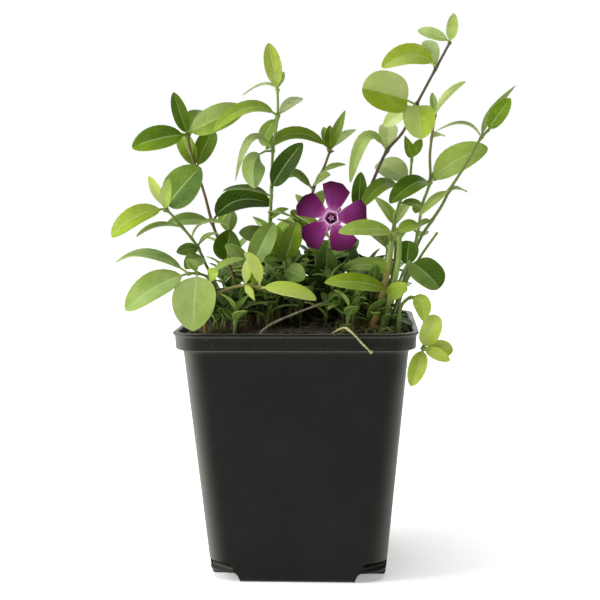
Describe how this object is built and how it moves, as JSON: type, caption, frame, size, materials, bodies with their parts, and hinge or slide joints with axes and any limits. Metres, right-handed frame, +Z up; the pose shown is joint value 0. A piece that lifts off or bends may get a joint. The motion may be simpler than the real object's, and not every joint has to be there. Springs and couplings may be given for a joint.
{
  "type": "potted lesser periwinkle",
  "caption": "Young lesser periwinkle with thin leaning leafy stems and an open purple pinwheel flower, growing in a square tapered nursery pot with a rounded collar and a cross-shaped foot.",
  "frame": {"origin": "centre of the foot's underside, on the pot's vertical centre line", "axes": "+Z up; -Y towards the side of the pot and plant that the picture shows; +X to the right of that side"},
  "size_m": [0.1546, 0.1123, 0.2121],
  "materials": {
    "pot_plastic": "satin, moulded",
    "compost": "matt, crumbly",
    "dark_leaf": "semi-gloss",
    "mid_leaf": "semi-gloss",
    "grey_leaf": "matt, greyish bloom",
    "light_leaf": "semi-gloss",
    "yellow_leaf": "semi-gloss",
    "petal": "matt, velvety",
    "flower_eye": "matt",
    "dead_stalk": "matt, dry",
    "straw": "matt, dry"
  },
  "bodies": {
    "root": {"pot": "pot_plastic", "soil": "compost", "shoot_upper_left": "dark_leaf", "shoot_middle_left": "light_leaf", "shoot_lower_left": "grey_leaf", "front_sprout": "yellow_leaf", "shoot_tall_centre": "mid_leaf", "low_sprout_left": "grey_leaf", "low_sprout_centre": "mid_leaf", "shoot_centre": "dark_leaf", "flowering_shoot": "grey_leaf", "shoot_tallest": "yellow_leaf", "upright_sprig": "mid_leaf", "shoot_upright_right": "light_leaf", "shoot_outer_right": "mid_leaf", "cut_stalk": "dead_stalk", "front_right_sprout": "yellow_leaf", "round_leaf_sprout": "dark_leaf", "trailing_sprig": "yellow_leaf", "far_shoot_1": "mid_leaf", "far_shoot_2": "dark_leaf", "far_shoot_3": "mid_leaf", "far_shoot_4": "dark_leaf", "far_shoot_5": "mid_leaf", "front_seedling_1": "dark_leaf", "front_seedling_2": "dark_leaf", "dead_stalk": "dead_stalk", "straw_stalk": "straw", "flower_corolla": "petal", "flower_eye": "flower_eye"}
  },
  "joints": []
}
